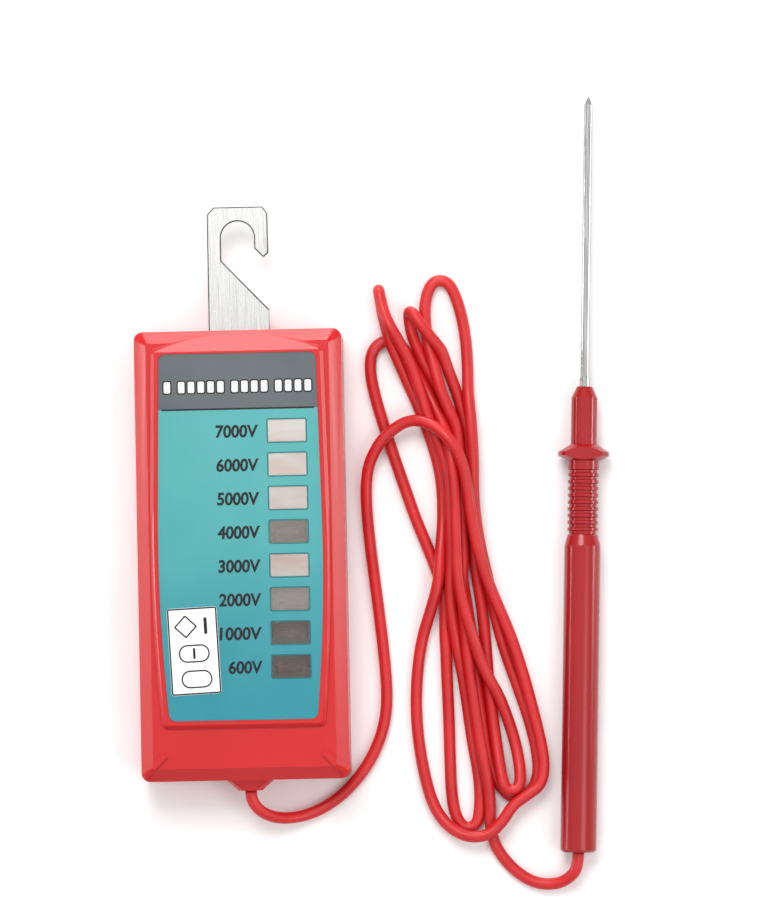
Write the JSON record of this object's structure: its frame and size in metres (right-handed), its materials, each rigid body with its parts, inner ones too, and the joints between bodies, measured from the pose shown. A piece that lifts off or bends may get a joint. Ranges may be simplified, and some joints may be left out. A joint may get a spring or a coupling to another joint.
{
  "type": "fence voltage tester",
  "caption": "Hand-held fence voltage tester: red case with a steel hook and a column of lamp windows, and a pointed earth probe on a coiled red lead.",
  "frame": {"origin": "centre of the case's flat back face, on the surface that the tester lies on", "axes": "+X to the right of the face, +Y from the cable end to the hook, +Z out of the lamp windows"},
  "size_m": [0.1596, 0.2683, 0.028],
  "materials": {
    "case_plastic": "glossy moulded red plastic",
    "label_film": "satin printed film, blue-green with a dark grey header",
    "sticker_film": "satin white film",
    "window_lens": "clear moulded window",
    "lamp_glass": "clear lamp glass",
    "white_plastic": "matte white",
    "black_plastic": "matte black",
    "board": "green board with a satin solder mask",
    "resistor_coating": "matte blue coating",
    "tinned_wire": "bright tinned wire",
    "hook_steel": "brushed stainless steel plate",
    "screw_steel": "zinc plated steel",
    "wire_insulation": "black insulation",
    "copper_core": "bare stranded copper",
    "lead_jacket": "soft red lead jacket with a satin sheen",
    "probe_plastic": "glossy red plastic",
    "probe_steel": "ground stainless steel",
    "brass": "bare brass"
  },
  "bodies": {
    "case": {"front_cover": "case_plastic", "rear_cover": "case_plastic", "face_label": "label_film", "rating_sticker": "sticker_film", "window_lens_1": "window_lens", "window_lens_2": "window_lens", "window_lens_3": "window_lens", "window_lens_4": "window_lens", "window_lens_5": "window_lens", "window_lens_6": "window_lens", "window_lens_7": "window_lens", "window_lens_8": "window_lens", "neon_lamp_1": "lamp_glass", "neon_lamp_2": "lamp_glass", "neon_lamp_3": "lamp_glass", "neon_lamp_4": "lamp_glass", "neon_lamp_5": "lamp_glass", "neon_lamp_6": "lamp_glass", "neon_lamp_7": "lamp_glass", "neon_lamp_8": "lamp_glass", "lamp_baffle": "white_plastic", "cable_clamp": "black_plastic", "circuit_board": "board", "ladder_resistors": "resistor_coating", "lamp_resistors": "resistor_coating", "lamp_legs": "tinned_wire", "hook_plate": "hook_steel", "hook_screws": "screw_steel", "case_screws": "screw_steel", "board_screws": "screw_steel", "clamp_screws": "screw_steel", "hook_wire": "wire_insulation", "lead_inner_core": "copper_core", "lead_inner_end": "lead_jacket", "lead_from_case": "lead_jacket", "lead_hank": "lead_jacket", "lead_to_probe": "lead_jacket"},
    "probe": {"probe_handle": "probe_plastic", "probe_end_cap": "probe_plastic", "probe_nose": "probe_plastic", "probe_rod": "probe_steel", "probe_ferrule": "brass", "probe_lead_end": "lead_jacket", "probe_lead_core": "copper_core"}
  },
  "joints": [
    {"name": "probe_swing", "type": "hinge", "parent": "case", "child": "probe", "pos_m": [0.1111, -0.1024, 0.0061], "axis": [0, 0, 1], "range_deg": [-30, 3], "deforming": ["lead_to_probe"]}
  ]
}
